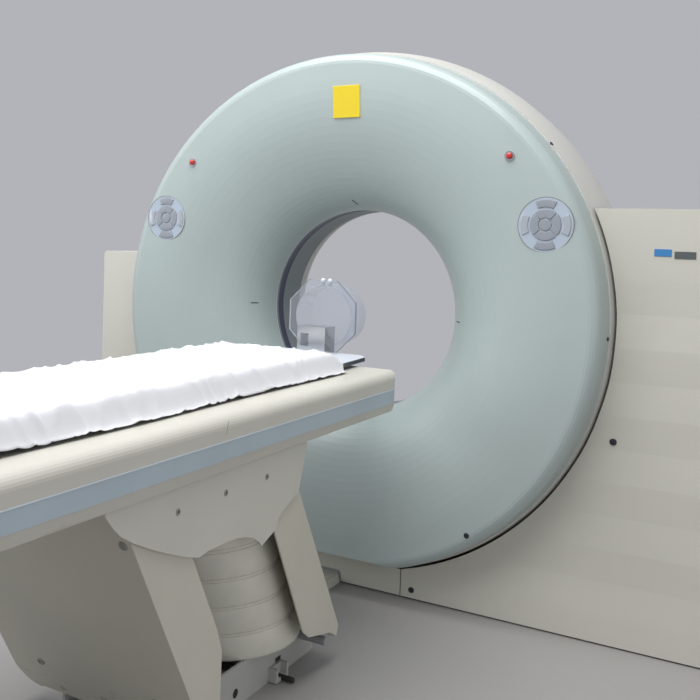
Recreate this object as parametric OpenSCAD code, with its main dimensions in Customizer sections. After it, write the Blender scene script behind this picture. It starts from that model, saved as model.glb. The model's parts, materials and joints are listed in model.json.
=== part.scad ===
// Whole-body scanner: a tilting ring gantry between two floor cabinets, a lifting patient table with a
// sliding tabletop, and a water phantom on the head end. The origin is on the floor under the scan centre.
// +X is the right side seen from the table, +Y goes into the bore, +Z is up.

/* [Ring] */
// Height of the scan centre above the floor
scan_h = 942; // [936:1:948]
// Height of the ring's rounded underside above the floor
ring_low = 86; // [84:1:92]
// How much the rounded underside cuts off the drum
belly_in = 34; // [33:1:37]
// Radius of the bore at its narrowest
bore_r = 352; // [345:1:360]
// How far the front cover's rim lies inside the drum's radius
rim_in = 24; // [23:1:28]
// Rounding of the rims of the front and rear covers
rim_round = 35; // [30:1:40]
// How much the front cover's rim narrows from the seam to its rounding
rim_taper = 8; // [7:1:12]
// Distance from the scan plane to the seam behind the front cover
seam_d = 190; // [185:1:195]
// Distance from the scan plane to the front face
front_d = 282; // [275:1:284]
// Distance from the scan plane to the seam before the rear cover
rear_seam_d = 330; // [320:1:340]
// Distance from the scan plane to the rear face
rear_d = 395; // [385:1:410]
// Distance from the scan plane to the front edge of the throat
throat_front = 32; // [28:1:36]
// Distance from the scan plane to the rear edge of the throat
throat_rear = 145; // [135:1:150]
// Width of the flat ring on the front face
face_w = 52; // [45:1:70]
// Width of the flat ring on the rear face
rear_face_w = 40; // [30:1:50]
// How far the drum's crown lies behind the scan plane
crown_d = 52; // [48:1:56]
// How far the crown's centre lies above the scan centre
crown_up = 70; // [67:1:73]
// How much smaller the crown's radius is than the drum's
crown_in = 56; // [54:1:58]
// Thickness of the ring's covers
cover_t = 5; // [4:0.5:6]
// Gap between the tilting ring and the covers round it
ring_gap = 8; // [7:1:11]
// Length of the dark scan window along the bore
window_len = 40; // [30:1:44]

/* [Tilt and rotor] */
// Radius of the trunnion pins
trunnion_r = 45; // [35:1:50]
// Distance from the scan plane to the tilt frame's plate
frame_d = 170; // [168:1:175]
// Thickness of the tilt frame's plate
frame_t = 25; // [15:1:25]
// Distance from the bore's wall to the main bearing's fixed race
race_gap = 118; // [114:1:123]
// Radial thickness of the main bearing's fixed race
race_t = 55; // [45:1:60]
// Gap between the rotor disc and the cover under it
rotor_gap = 51; // [49:1:60]
// Distance from the scan plane to the rotor disc's face
rotor_d = 100; // [95:1:102]
// Thickness of the rotor disc
rotor_t = 25; // [20:1:28]
// Distance from the focal spot to the scan centre
focus_r = 535; // [520:1:545]
// Gap between the bore's wall and the detector
detector_gap = 48; // [44:1:54]
// Half angle of the detector's fan, in degrees
fan_half = 26; // [22:1:27]

/* [Cabinets and base] */
// Distance from the scan plane to the cabinets' front
cab_front = 172; // [168:1:180]
// Distance from the scan plane to the cabinets' back
cab_back = 260; // [240:1:300]
// Height of the right cabinet's top above the scan centre
right_rise = 360; // [310:1:400]
// Height of the left cabinet's top above the scan centre
left_rise = 173; // [150:1:210]
// Width of the right cabinet beyond its stand
right_out = 159; // [110:1:200]
// Width of the left cabinet beyond its stand
left_out = 81; // [65:1:120]
// Wall thickness of the cabinets
cab_t = 8; // [6:0.5:10]
// Rounding of the cabinets' upper outer edges
cab_round = 14; // [8:1:24]
// Height of one facet band on the right cabinet's front
facet_h = 100.6; // [90:0.1:110]
// Depth of the facets
facet_d = 3; // [1:0.5:4]
// Height of the ridge that starts the facets above the scan centre
facet_rise = 152.6; // [120:0.1:165]
// Gap between the floor and the lower edges of covers
floor_gap = 5; // [3:1:8]
// Half width of the kick strips under the ring
strip_half = 240; // [220:1:250]
// Right end of the cable arch in the front strip
arch_right = 20; // [10:1:40]
// Width of the cable arch
arch_w = 200; // [160:1:220]
// Height of the cable arch
arch_h = 43; // [38:1:46]
// Thickness of the base frame's beams
beam_t = 50; // [40:1:55]

/* [Key panels] */
// Distance of the key panels' centres inside the front cover's rim
panel_in = 111; // [108:1:118]
// Angle of the key panels above the horizontal, seen from the bore, in degrees
panel_turn = 23.9; // [22:0.1:25]
// Radius of the key panels
panel_r = 81; // [78:0.5:82]
// Tilt of the key panels towards the bore, in degrees
panel_lean = 2.4; // [1.5:0.1:3]
// Thickness of the key panels
panel_t = 14; // [12:1:18]
// Radius of the round centre key
centre_key_r = 17.5; // [15:0.5:18]
// Inner and outer radius of the sector keys
sector_in = 20.5; // [20:0.5:22]
// Outer radius of the sector keys
sector_out = 46; // [42:0.5:47]
// Inner radius of the outer keys
outer_in = 52; // [50:0.5:54]
// Outer radius of the outer keys
outer_out = 74; // [70:0.5:76]
// How far a key can be pressed
key_travel = 1.5; // [1:0.1:2]
// Distance of the red push buttons inside the front cover's rim
button_in = 97; // [90:1:108]
// Angle of the red push buttons above the horizontal, in degrees
button_turn = 41.4; // [40:0.1:43]
// Radius of the red push buttons
button_r = 9.5; // [8:0.5:11]

/* [Table] */
// Distance from the scan centre down to the table shell's top
table_drop = 145; // [143:1:150]
// Height of the table shell's sides
shell_h = 123; // [119:1:127]
// Half width of the table shell
shell_half = 310; // [304:1:320]
// Distance from the scan plane to the table's head end
head_d = 437; // [430:1:460]
// Length of the table shell
shell_len = 2313; // [2250:1:2350]
// Wall thickness of the table shell
shell_t = 4; // [3:0.5:5]
// Distance of the side band above the shell's lower edge
band_up = 28; // [25:1:32]
// Height of the side band
band_h = 42; // [38:1:46]
// Gap between the shell's top and the tabletop
board_gap = 10; // [8:1:12]
// Thickness of the tabletop
board_t = 13; // [11:1:15]
// Half width of the tabletop
board_half = 200; // [195:1:205]
// Distance from the scan plane to the tabletop's tip
tip_d = 345; // [335:1:350]
// Distance of the tabletop's rear end from the shell's
board_back = 5; // [3:1:40]
// Travel of the tabletop into the bore
board_travel = 1500; // [1400:1:1530]
// Thickness of the mattress
pad_t = 30; // [20:1:40]

/* [Lift] */
// Lean of the lift arms from the vertical with the table raised, in degrees
lean = 28.5; // [27.5:0.1:29.5]
// Distance from the scan plane to the front arm's lower pivot
front_pivot_d = 800; // [797:1:803]
// Distance between the front and rear lower pivots
pivot_gap = 552; // [548:1:556]
// Height of the lower pivots
pivot_h = 85; // [83:1:87]
// Distance from the table shell's top down to the raised upper pivots
upper_drop = 191; // [188:1:195]
// Radius of the pivot shafts
shaft_r = 12; // [10:0.5:13]
// Half width of the arm covers
cover_half = 285; // [283:1:286]
// Radius of the bellows in plan
bellows_r = 232; // [228:1:235]
// Height of the bellows' lower edge
bellows_low = 105.3; // [105.3:0.1:106]
// Number of stitched panels in the bellows
bellows_n = 5; // [4:1:6]
// Half width of the table base
base_half = 184; // [182:1:186]

/* [Phantom] */
// Radius of the phantom's jar
jar_r = 100; // [90:1:105]
// Length of the phantom's jar
jar_len = 117; // [100:1:125]
// Distance across the flats of the phantom's plate
plate_w = 240; // [220:1:244]
// Thickness of the phantom's plate
plate_t = 10; // [8:1:12]

/* [Hidden] */

seat = 0.3;
fit = 0.06;
loose = 0.5;
big = 4000;
$fn = 96;

mint = [0.70, 0.77, 0.75];
cream = [0.80, 0.79, 0.74];
grey = [0.55, 0.56, 0.56];
steel = [0.62, 0.63, 0.65];
dark = [0.12, 0.13, 0.20];

// Ring: a sphere round the scan centre with a flatter crown, cut round below by a cylinder along the tilt axis
belly_r = scan_h - ring_low;
belly_gap = ring_gap + 2;
drum_r = belly_r + belly_in;
rim_r = drum_r - rim_in;
rear_drum_r = sqrt(drum_r * drum_r - rear_seam_d * rear_seam_d);
rear_rim_r = rear_drum_r - 6;
rear_round = rear_d - rear_seam_d;
rim_in_r = rim_r - rim_taper - rim_round;
flare_front = rim_in_r - bore_r - face_w;
flare_rear = rear_rim_r - rear_round - bore_r - rear_face_w;
back_r = bore_r + flare_front - 72;
window_front = -window_len / 2 + 1;
window_rear = window_front + window_len;

// Rotor and what carries it
race_r = bore_r + race_gap;
hub_r = race_r - fit;
magnet_in = race_r + race_t + 35;
magnet_out = magnet_in + 80;
rotor_r = belly_r - cover_t - rotor_gap;
detector_d = focus_r + bore_r + cover_t + detector_gap;
tube_z = focus_r + 65;
tube_r = 105;

// Stands, cabinets and base
stand_x = drum_r + ring_gap + cab_t + seat + 30;
stand_t = 60;
right_x = stand_x + stand_t - seat + right_out;
left_x = stand_x + stand_t - seat + left_out;
right_h = scan_h + right_rise;
left_h = scan_h + left_rise;
facet_top = scan_h + facet_rise;
beam_y = cab_front - cab_t - seat;
beam_w = 56;
anchor_x = stand_x - stand_t - seat;
anchor_y = beam_y - beam_w / 2;
anchor_r = 9;
strip_t = cab_t;
duct_h = 30;

// Key panels and push buttons
panel_dist = rim_r - panel_in;
panel_x = panel_dist * cos(panel_turn);
panel_z = panel_dist * sin(panel_turn);
button_x = (rim_r - button_in) * cos(button_turn);
button_z = (rim_r - button_in) * sin(button_turn);
key_h = 7;
key_clear = 0.5;

// Table body
shell_top = scan_h - table_drop;
shell_low = shell_top - shell_h;
band_low = shell_low + band_up;
band_top = band_low + band_h;
foot_d = head_d + shell_len;
slot_half = 60;
rail_in = 150;
rail_out = 190;
rail_low = shell_low + 16;
rail_top = shell_top - 2 * shell_t - seat;
rail_t = 6;
track_low = rail_low + 40;
track_top = rail_top - rail_t;
skirt_out = shell_half - 18;
skirt_t = 4;
board_low = shell_top + board_gap;
board_top = board_low + board_t;
board_end = foot_d - board_back;
carriage_d = foot_d - 400;
carriage_len = 220;

// Lift
upper_h = shell_top - upper_drop;
arm_len = (upper_h - pivot_h) / cos(lean);
rear_pivot_d = front_pivot_d + pivot_gap;
base_front = front_pivot_d - 108;
base_wall = 8;
base_anchor_x = 140;
arm_cover_t = 4;
arm_cover_top = arm_len - 37;
arm_bar_in = 110;
arm_bar_out = 135;
arm_half = 24;
foot_low = 48;
foot_top = shell_low - 2;
foot_line = rear_pivot_d + 21;
bellows_top = upper_h - 91;
bellows_c = front_pivot_d + 117;
ring_n = 36;
steps = 4;
bellows_w = 3;

// Phantom
plate_d = tip_d - seat - plate_t;
phantom_z = scan_h - 8;
plug_r = 7;
plug_x = 12.5;
bracket_half = 50;
bracket_d = tip_d + 70;

// Points on an ellipse from angle a0 to a1
function arc(cx, cy, rx, ry, a0, a1, n) =
    [for (i = [0:n]) let (a = a0 + (a1 - a0) * i / n) [cx + rx * cos(a), cy + ry * sin(a)]];
function flip(p) = [for (i = [len(p) - 1:-1:0]) p[i]];
// Points on the right side, then their mirror images on the left
function mirrored(p) = concat(p, flip([for (q = p) [-q[0], q[1]]]));

// Turns a profile of [radius, distance into the bore] about the scan axis
module spin(points) {
    translate([0, 0, scan_h]) rotate([-90, 0, 0]) rotate_extrude($fn = 180) polygon(points);
}

// A ring with a rectangular section
module ring(r_in, r_out, d0, d1) {
    spin([[r_in, d0], [r_out, d0], [r_out, d1], [r_in, d1]]);
}

// A plain cylinder along X at the height and depth given
module rod_x(r, x0, x1, y, z) {
    translate([x0, y, z]) rotate([0, 90, 0]) cylinder(r = r, h = x1 - x0);
}

module rod_y(r, y0, y1, x, z) {
    translate([x, y0, z]) rotate([-90, 0, 0]) cylinder(r = r, h = y1 - y0);
}

module block(x0, x1, y0, y1, z0, z1) {
    translate([x0, y0, z0]) cube([x1 - x0, y1 - y0, z1 - z0]);
}

// Extrudes an outline drawn in Y and Z along X
module along_x(x0, x1) {
    translate([x0, 0, 0]) rotate([90, 0, 90]) linear_extrude(x1 - x0) children();
}

// Extrudes an outline drawn in X and Z along Y
module along_y(y0, y1) {
    translate([0, y1, 0]) rotate([90, 0, 0]) linear_extrude(y1 - y0) children();
}

module both_sides() {
    children();
    mirror([1, 0, 0]) children();
}

// Everything that lies above the ring's rounded underside
module above_belly(r) {
    union() {
        block(-big, big, -big, big, scan_h - 500, scan_h + big);
        rod_x(r, -big, big, 0, scan_h);
    }
}

// Half the outline of the front cover, grown inwards by t
function front_half(t) = concat(
    [[rim_r - t, -seam_d]],
    arc(rim_in_r, -front_d + rim_round, rim_round - t, rim_round - t, 0, -90, 6),
    arc(bore_r + flare_front, -throat_front, flare_front - t, front_d - throat_front - t, -90, -180, 22));

// Half the outline of the rear cover, grown inwards by t
function rear_half(t) = concat(
    [[rear_rim_r - t, rear_seam_d]],
    arc(rear_rim_r - rear_round, rear_seam_d, rear_round - t, rear_round - t, 10, 90, 8),
    arc(bore_r + flare_rear, throat_rear, flare_rear - t, rear_d - throat_rear - t, 90, 180, 22));

// The drum's round body with its crown, between its two end faces, grown inwards by t
module drum_body(t, hole_r) {
    difference() {
        intersection() {
            translate([0, 0, scan_h]) union() {
                sphere(r = drum_r - t, $fn = 180);
                translate([0, crown_d, crown_up]) sphere(r = drum_r - crown_in - t, $fn = 180);
            }
            block(-big, big, t - seam_d, rear_seam_d - t, -big, big);
        }
        rod_y(hole_r, -big, big, 0, scan_h);
    }
}

module tilting_shell() {
    difference() {
        intersection() {
            children(0);
            above_belly(belly_r);
        }
        intersection() {
            children(1);
            above_belly(belly_r - cover_t);
        }
    }
}

module front_cover() {
    color(mint) difference() {
        tilting_shell() {
            spin(concat(front_half(0), [[back_r, -seam_d]]));
            spin(concat([[rim_r - cover_t, -seam_d + 1]], front_half(cover_t),
                [[bore_r + cover_t, -throat_front + 1], [back_r, -seam_d + 1]]));
        }
        for (side = [-1, 1]) {
            at_panel(side) translate([0, 0, -60]) cylinder(r = panel_r + 0.5, h = 120);
            rod_y(button_r + 4.5, -front_d - 20, -front_d + 40, side * button_x, scan_h + button_z);
        }
    }
}

module drum_shell() {
    flange_r = drum_r - 89;
    color(cream) difference() {
        tilting_shell() {
            drum_body(0, flange_r);
            drum_body(cover_t, flange_r - 1);
        }
        rod_x(trunnion_r + 8, -big, big, 0, scan_h);
    }
}

module rear_cover() {
    color(cream) tilting_shell() {
        spin(concat(rear_half(0), [[back_r, rear_seam_d]]));
        spin(concat([[rear_rim_r - cover_t, rear_seam_d - 1]], rear_half(cover_t),
            [[bore_r + cover_t, throat_rear - 1], [back_r, rear_seam_d - 1]]));
    }
}

module front_lip() {
    mid = (-throat_front + window_front) / 2;
    out = bore_r + cover_t;
    groove = bore_r + 2;
    color(grey) spin([[bore_r, -throat_front], [out, -throat_front], [out, window_front],
        [bore_r, window_front], [bore_r, mid + 1.5], [groove, mid + 0.5], [groove, mid - 0.5],
        [bore_r, mid - 1.5]]);
}

module scan_window() {
    color(dark) ring(bore_r + 1.5, bore_r + 4, window_front, window_rear);
}

module bore_tube() {
    color(grey) ring(bore_r, bore_r + cover_t, window_rear, throat_rear);
}

module tilt_frame() {
    plate_r = sqrt(pow(drum_r - cover_t, 2) - pow(frame_d + frame_t, 2)) - seat;
    arm_in = rotor_r + 12;
    arm_out = drum_r - 41;
    color(steel) intersection() {
        union() {
            ring(race_r + 15, plate_r, frame_d, frame_d + frame_t);
            both_sides() {
                block(arm_in, arm_out, -60, frame_d + 1, scan_h - 80, scan_h + 80);
                rod_x(trunnion_r, arm_in + 1, stand_x + stand_t, 0, scan_h);
            }
        }
        above_belly(belly_r - cover_t - seat);
    }
}

module bearing_race() {
    color(steel) ring(race_r, race_r + race_t, frame_d - 30, frame_d);
}

module drive_stator() {
    color("goldenrod") ring(magnet_in, magnet_out, frame_d - 20, frame_d);
}

module rotor_disc() {
    color(steel) union() {
        ring(race_r - 70, rotor_r, rotor_d, rotor_d + rotor_t);
        ring(race_r - 40, hub_r, rotor_d + rotor_t - 1, frame_d - 2);
        ring(magnet_in, magnet_out, rotor_d + rotor_t - 1, frame_d - 22);
    }
}

module xray_tube() {
    color("lightslategray") translate([0, 0, scan_h]) union() {
        rod_y(tube_r, -150, rotor_d, 0, tube_z);
        rod_y(tube_r - 20, -185, -149, 0, tube_z);
        both_sides() block(98, 142, rotor_d - 40, rotor_d, tube_z - 60, tube_z + 60);
    }
}

module collimator() {
    top_z = tube_z - tube_r;
    color(grey) translate([0, 0, scan_h]) difference() {
        block(-90, 90, -45, rotor_d, top_z - 55, top_z);
        block(-70, 70, -8, 8, top_z - 60, top_z + 5);
    }
}

module detector_arc() {
    color("darkslategray") translate([0, 0, scan_h + focus_r]) rotate([-90, 0, 0])
        translate([0, 0, -45]) rotate([0, 0, 90 - fan_half]) rotate_extrude(angle = 2 * fan_half, $fn = 180)
            polygon([[detector_d, 0], [detector_d + 60, 0], [detector_d + 60, 45 + rotor_d],
                [detector_d + 20, 45 + rotor_d], [detector_d + 20, 90], [detector_d, 90]]);
}

module hv_generator() {
    tank_in = rotor_r - 320;
    color("slategray") translate([0, 0, scan_h]) difference() {
        block(tank_in, tank_in + 235, -130, rotor_d, -160, 160);
        for (z = [-120:40:120]) block(tank_in - 10, tank_in + 10, -110, 60, z - 12, z + 12);
    }
}

module slip_ring() {
    inner = race_r - 38;
    crest = race_r - 4;
    root = race_r - 8;
    pitch = 11;
    tracks = [for (i = [0:4]) let (d = frame_d + 2 + pitch * i)
        for (p = [[crest, d], [crest, d + 7], [root, d + 7], [root, d + pitch]]) p];
    color("peru") spin(concat([[inner, frame_d - 2]], tracks, [[inner, frame_d + 2 + 5 * pitch]]));
}

// Frames and carriers on the floor
module gantry_base_frame() {
    color(steel) difference() {
        union() {
            for (y = [-beam_y, beam_y - beam_w])
                block(-stand_x - stand_t, stand_x + stand_t, y, y + beam_w, 0, beam_t);
            both_sides()
                block(stand_x, stand_x + stand_t, beam_w - 1 - beam_y, beam_y - beam_w + 1, 0, beam_t - 1);
            for (x = [-400, 0, 400]) block(x - 40, x + 40, beam_w - 1 - beam_y, beam_y - beam_w + 1, 0, 12);
        }
        for (x = [-anchor_x, anchor_x]) for (y = [-anchor_y, anchor_y])
            translate([x, y, -1]) cylinder(r = anchor_r, h = beam_t + 2);
    }
}

module gantry_stands() {
    foot = 150;
    neck = 95;
    x0 = stand_x;
    x1 = stand_x + stand_t;
    color(steel) both_sides() difference() {
        union() {
            along_x(x0, x1) polygon([[-foot, beam_t], [foot, beam_t], [neck, scan_h], [-neck, scan_h]]);
            rod_x(neck, x0, x1, 0, scan_h);
        }
        rod_x(trunnion_r + fit, x0 - 1, x1 + 1, 0, scan_h);
        along_x(x0 - 1, x1 + 1)
            polygon([[-85, beam_t + 80], [85, beam_t + 80], [50, scan_h - 200], [-50, scan_h - 200]]);
    }
}

// The space that the tilting ring needs, grown by t
module ring_space(t) {
    intersection() {
        translate([0, 0, scan_h]) sphere(r = drum_r + ring_gap + t, $fn = 180);
        above_belly(belly_r + belly_gap + t);
    }
}

// Outline of a cabinet in X and Z, drawn for the right side and open towards the ring
module cabinet_outline(x_out, top, low, t) {
    x_in = t > 0 ? strip_half - 5 : strip_half;
    polygon(concat([[x_in, low], [x_out - t, low]],
        arc(x_out - cab_round, top - cab_round, cab_round - t, cab_round - t, 0, 90, 5), [[x_in, top - t]]));
}

module cabinet(x_out, top) {
    difference() {
        difference() {
            along_y(-cab_front, cab_back) cabinet_outline(x_out, top, floor_gap, 0);
            ring_space(0);
        }
        difference() {
            along_y(-cab_front + cab_t, cab_back - cab_t) cabinet_outline(x_out, top, floor_gap - 5, cab_t);
            ring_space(cab_t);
        }
        rod_x(trunnion_r + 15, 0, stand_x, 0, scan_h);
    }
}

module right_cabinet() {
    pairs = floor((facet_top - floor_gap) / (2 * facet_h));
    color(cream) difference() {
        cabinet(right_x, right_h);
        for (i = [0:pairs - 1]) {
            z1 = facet_top - 2 * facet_h * i;
            z2 = z1 - 2 * facet_h;
            along_x(0, big) polygon([[-cab_front - 1, z1 + 0.01], [-cab_front, z1],
                [facet_d - cab_front, z1 - facet_h], [-cab_front, z2], [-cab_front - 1, z2 - 0.01]]);
        }
    }
}

module left_cabinet() {
    color(cream) mirror([1, 0, 0]) cabinet(left_x, left_h);
}

module kick_strips() {
    arch_round = 12;
    color(cream) difference() {
        union() {
            block(-strip_half + seat, strip_half - seat, -cab_front, -cab_front + strip_t, floor_gap, scan_h);
            block(-strip_half + seat, strip_half - seat, cab_back - strip_t, cab_back, floor_gap, 160);
            both_sides() block(185, 215, beam_y, cab_back - strip_t + 1, floor_gap, beam_t);
        }
        ring_space(0);
        along_y(-cab_front - 5, -cab_front + strip_t + 5) polygon(concat(
            [[arch_right - arch_w, -1], [arch_right, -1]],
            arc(arch_right - arch_round, arch_h - arch_round, arch_round, arch_round, 0, 90, 6),
            arc(arch_right - arch_w + arch_round, arch_h - arch_round, arch_round, arch_round, 90, 180, 6)));
    }
}

module cable_duct() {
    left = arch_right - arch_w;
    color(cream) along_y(-base_front + seat, -cab_front + strip_t) polygon([
        [left + 12, 0], [arch_right - 3, 0], [arch_right - 12, duct_h - 4], [arch_right - 20, duct_h],
        [left + 29, duct_h], [left + 21, duct_h - 4]]);
}

// Puts children on a key panel, with +Z out of the cover, X away from the bore's axis
module at_panel(side) {
    translate([side * panel_x, -front_d + 1.5, scan_h + panel_z]) rotate([90, 0, 0])
        rotate([0, 0, side > 0 ? panel_turn : 180 - panel_turn]) rotate([0, -panel_lean, 0])
            rotate([0, 0, side > 0 ? -panel_turn : panel_turn - 180]) children();
}

module wedge(r, half) {
    polygon([[0, 0], [r * cos(half), -r * sin(half)], [r * 1.2, 0], [r * cos(half), r * sin(half)]]);
}

// Outline of one key, grown by g: kind 0 is the centre key, 1 a sector key, 2 an outer key
module key_outline(kind, turn, g) {
    if (kind == 0) {
        circle(r = centre_key_r + g);
    } else {
        r0 = kind == 1 ? sector_in : outer_in;
        r1 = kind == 1 ? sector_out : outer_out;
        half = kind == 1 ? 42 : 25;
        rotate([0, 0, turn]) intersection() {
            difference() {
                circle(r = r1 + g);
                circle(r = r0 - g);
            }
            translate([-g / sin(half), 0]) wedge(r1 + 30, half);
        }
    }
}

module key_panel(side) {
    color([0.72, 0.77, 0.83]) at_panel(side) difference() {
        translate([0, 0, -panel_t]) cylinder(r = panel_r, h = panel_t);
        translate([0, 0, -key_h - key_travel]) linear_extrude(20) {
            key_outline(0, 0, key_clear);
            for (i = [0:3]) {
                key_outline(1, 90 * i, key_clear);
                key_outline(2, 90 * i, key_clear);
            }
        }
    }
}

module key(side, kind, turn) {
    color([0.66, 0.70, 0.74]) at_panel(side) translate([0, 0, -key_h + seat]) linear_extrude(key_h + 2)
        key_outline(kind, turn, 0);
}

module push_button(side) {
    color("firebrick") {
        rod_y(button_r, -front_d - 7, -front_d + 4, side * button_x, scan_h + button_z);
        rod_y(button_r - 4, -front_d + 3, -front_d + 22, side * button_x, scan_h + button_z);
    }
}

module button_collars() {
    color("silver") for (side = [-1, 1]) difference() {
        union() {
            rod_y(button_r + 5.5, -front_d - 3, -front_d - 0.01, side * button_x, scan_h + button_z);
            rod_y(button_r + 4, -front_d - 1, -front_d + 30, side * button_x, scan_h + button_z);
        }
        rod_y(button_r + 0.4, -front_d - 10, -front_d + 8, side * button_x, scan_h + button_z);
        rod_y(button_r - 4 + fit, -front_d - 10, -front_d + 40, side * button_x, scan_h + button_z);
    }
}

// Lift geometry: u runs up a lift arm from its lower pivot, v towards the gantry
function on_arm(pivot_d, u, v) =
    [-pivot_d - u * sin(lean) + v * cos(lean), pivot_h + u * cos(lean) + v * sin(lean)];

module arm_outline(pivot_d, r) {
    polygon([for (p = [[0, -r], [0, r], [arm_len, r], [arm_len, -r]]) on_arm(pivot_d, p[0], p[1])]);
    for (u = [0, arm_len]) translate(on_arm(pivot_d, u, 0)) circle(r = r);
}

module lift_arm(pivot_d, foot_shaft, bars) {
    low = on_arm(pivot_d, 0, 0);
    high = on_arm(pivot_d, arm_len, 0);
    color(steel) union() {
        both_sides() {
            along_x(arm_bar_in, arm_bar_out) arm_outline(pivot_d, arm_half);
            for (u = bars) along_x(arm_bar_out - 1, cover_half - arm_cover_t - seat)
                polygon([for (p = [[-12, -15], [-12, 15], [12, 15], [12, -15]])
                    on_arm(pivot_d, u + p[0], p[1])]);
        }
        rod_x(shaft_r, -foot_shaft, foot_shaft, low[0], low[1]);
        rod_x(shaft_r, -rail_out + 10, rail_out - 10, high[0], high[1]);
        mid = on_arm(pivot_d, arm_len / 2, 0);
        rod_x(16, -arm_bar_in - 1, arm_bar_in + 1, mid[0], mid[1]);
    }
}

module front_arm() {
    lift_arm(front_pivot_d, cover_half - arm_cover_t - seat, [arm_len - 58]);
}

module rear_arm() {
    lift_arm(rear_pivot_d, base_half + 6, [150, arm_len - 120]);
}

module front_arm_cover() {
    p = function (u, v) on_arm(front_pivot_d, u, v);
    v_low = 70;
    v_top = 49;
    t = arm_cover_t;
    color(cream) union() {
        both_sides() along_x(cover_half - t, cover_half) polygon([p(arm_cover_top, -90), p(136, -90),
            p(98, -72), p(14, 20), p(-30, 48), p(-9, v_low), p(arm_cover_top, v_top)]);
        along_x(-cover_half, cover_half) polygon([p(-30, 48), p(-9, v_low), p(arm_cover_top, v_top),
            p(arm_cover_top, v_top - t), p(-7, v_low - t), p(-27, 48 - t)]);
    }
}

module foot_front(half, low, r) {
    polygon(concat(arc(half - r, low + r, r, r, 0, -90, 8), arc(-half + r, low + r, r, r, -90, -180, 8),
        [[-half, foot_top + 20], [half, foot_top + 20]]));
}

module foot_side_cover() {
    t = arm_cover_t;
    slope = tan(lean);
    shift = t / cos(lean);
    bend_z = 312;
    front_y = -front_pivot_d - 200;
    bend_y = -rear_pivot_d - 2;
    top = foot_top - 16;
    tall = foot_top + 50;
    color(cream) difference() {
        intersection() {
            along_x(-cover_half, cover_half) polygon([[-foot_line, foot_low],
                [-foot_line - (foot_top - foot_low) * slope, foot_top],
                [bend_y - (top - bend_z) * slope, top], [bend_y, bend_z], [bend_y + 21, bend_z - 55],
                [bend_y + 19, foot_low]]);
            along_y(-big, 0) foot_front(cover_half, foot_low, 70);
        }
        intersection() {
            along_x(-big, big) polygon([[shift - foot_line, foot_low],
                [shift - foot_line - (tall - foot_low) * slope, tall], [front_y, tall], [front_y, foot_low]]);
            along_y(-big, 0) foot_front(cover_half - t, foot_low + t, 70 - t);
        }
        block(-220, 220, -foot_line - 3, front_y, foot_low - 10, foot_low + 10);
    }
}

module table_base() {
    top = bellows_low - seat;
    rear_end = rear_pivot_d - 15;
    ear = top - pivot_h;
    mid_d = (front_pivot_d + rear_pivot_d) / 2 - 16;
    color([0.74, 0.75, 0.74]) difference() {
        union() {
            both_sides() along_x(base_half - base_wall, base_half) {
                polygon([[-base_front, 0], [-base_front, 30], [-base_front - 53, 48],
                    [24 - front_pivot_d, 70], [20 - front_pivot_d, top], [-rear_pivot_d, top],
                    [-rear_pivot_d, pivot_h], [-rear_end, pivot_h - ear], [-rear_end, 0]]);
                for (d = [front_pivot_d, rear_pivot_d]) translate([-d, pivot_h]) circle(r = ear);
            }
            block(-base_half + 1, base_half - 1, -rear_end, -base_front, 0, base_wall);
            for (d = [base_front + 8, mid_d, rear_end - 50])
                block(-base_half + 1, base_half - 1, -d - 6, -d, base_wall - 1, d < mid_d ? 28 : 60);
        }
        for (d = [front_pivot_d, rear_pivot_d]) rod_x(shaft_r + fit, -big, big, -d, pivot_h);
        for (x = [-base_anchor_x, base_anchor_x]) for (d = [front_pivot_d - 52, rear_pivot_d - 44])
            translate([x, -d, -1]) cylinder(r = 7, h = base_wall + 2);
        for (hole = [[307, 37, 12], [366, 31, 10]])
            rod_x(hole[2], base_half - 20, base_half + 20, -front_pivot_d - hole[0], hole[1]);
        block(base_half - 20, base_half + 20, -front_pivot_d - 108, -front_pivot_d - 78, 22, 52);
    }
    levelling_bracket();
}

module levelling_bracket() {
    y = -front_pivot_d - 112;
    color([0.78, 0.78, 0.75]) difference() {
        block(base_half - 1, base_half + 26, y - 33, y + 32, 3, 40);
        block(base_half + 8, base_half + 30, y - 23, y + 22, 12, 50);
    }
    color(dark) rod_x(7, base_half + 7, base_half + 58, y, 9.5);
}

module lift_gearmotor() {
    color("dimgray") difference() {
        union() {
            rod_x(34, -45, 45, -front_pivot_d, pivot_h);
            block(-45, 45, -front_pivot_d - 50, -front_pivot_d + 20, 8, pivot_h);
            rod_y(30, -front_pivot_d - 250, -front_pivot_d - 40, 0, 46);
        }
        rod_x(shaft_r + fit, -big, big, -front_pivot_d, pivot_h);
    }
}

// The bellows: rings of a flattened circle, leaning with the arms, each panel puffed between its seams
function puff(i) = 5 * sin(180 * (i % steps) / steps);
function bellows_ring(z, r) = let (back = -200 + bellows_r - r, front = 152 - bellows_r + r,
    centre = -bellows_c - (z - pivot_h - 15) * tan(lean)) [for (k = [0:ring_n - 1]) let (a = 360 * k / ring_n)
        [r * cos(a), centre + max(back, min(front, r * sin(a))), z]];
module lift_bellows() {
    n = bellows_n * steps;
    outer = [for (i = [0:n]) let (z = bellows_low + (bellows_top - bellows_low) * i / n)
        bellows_ring(z, bellows_r + puff(i))];
    inner = [for (i = [0:n]) let (z = bellows_low + (bellows_top - bellows_low) * i / n)
        bellows_ring(z, bellows_r - bellows_w)];
    loops = concat(outer, flip(inner));
    m = len(loops);
    points = [for (loop = loops) for (p = loop) p];
    faces = [for (i = [0:m - 1]) for (k = [0:ring_n - 1]) let (j = (i + 1) % m, l = (k + 1) % ring_n)
        [i * ring_n + k, i * ring_n + l, j * ring_n + l, j * ring_n + k]];
    color([0.66, 0.66, 0.62]) polyhedron(points = points, faces = [for (f = faces) flip(f)], convexity = 6);
}

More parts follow.
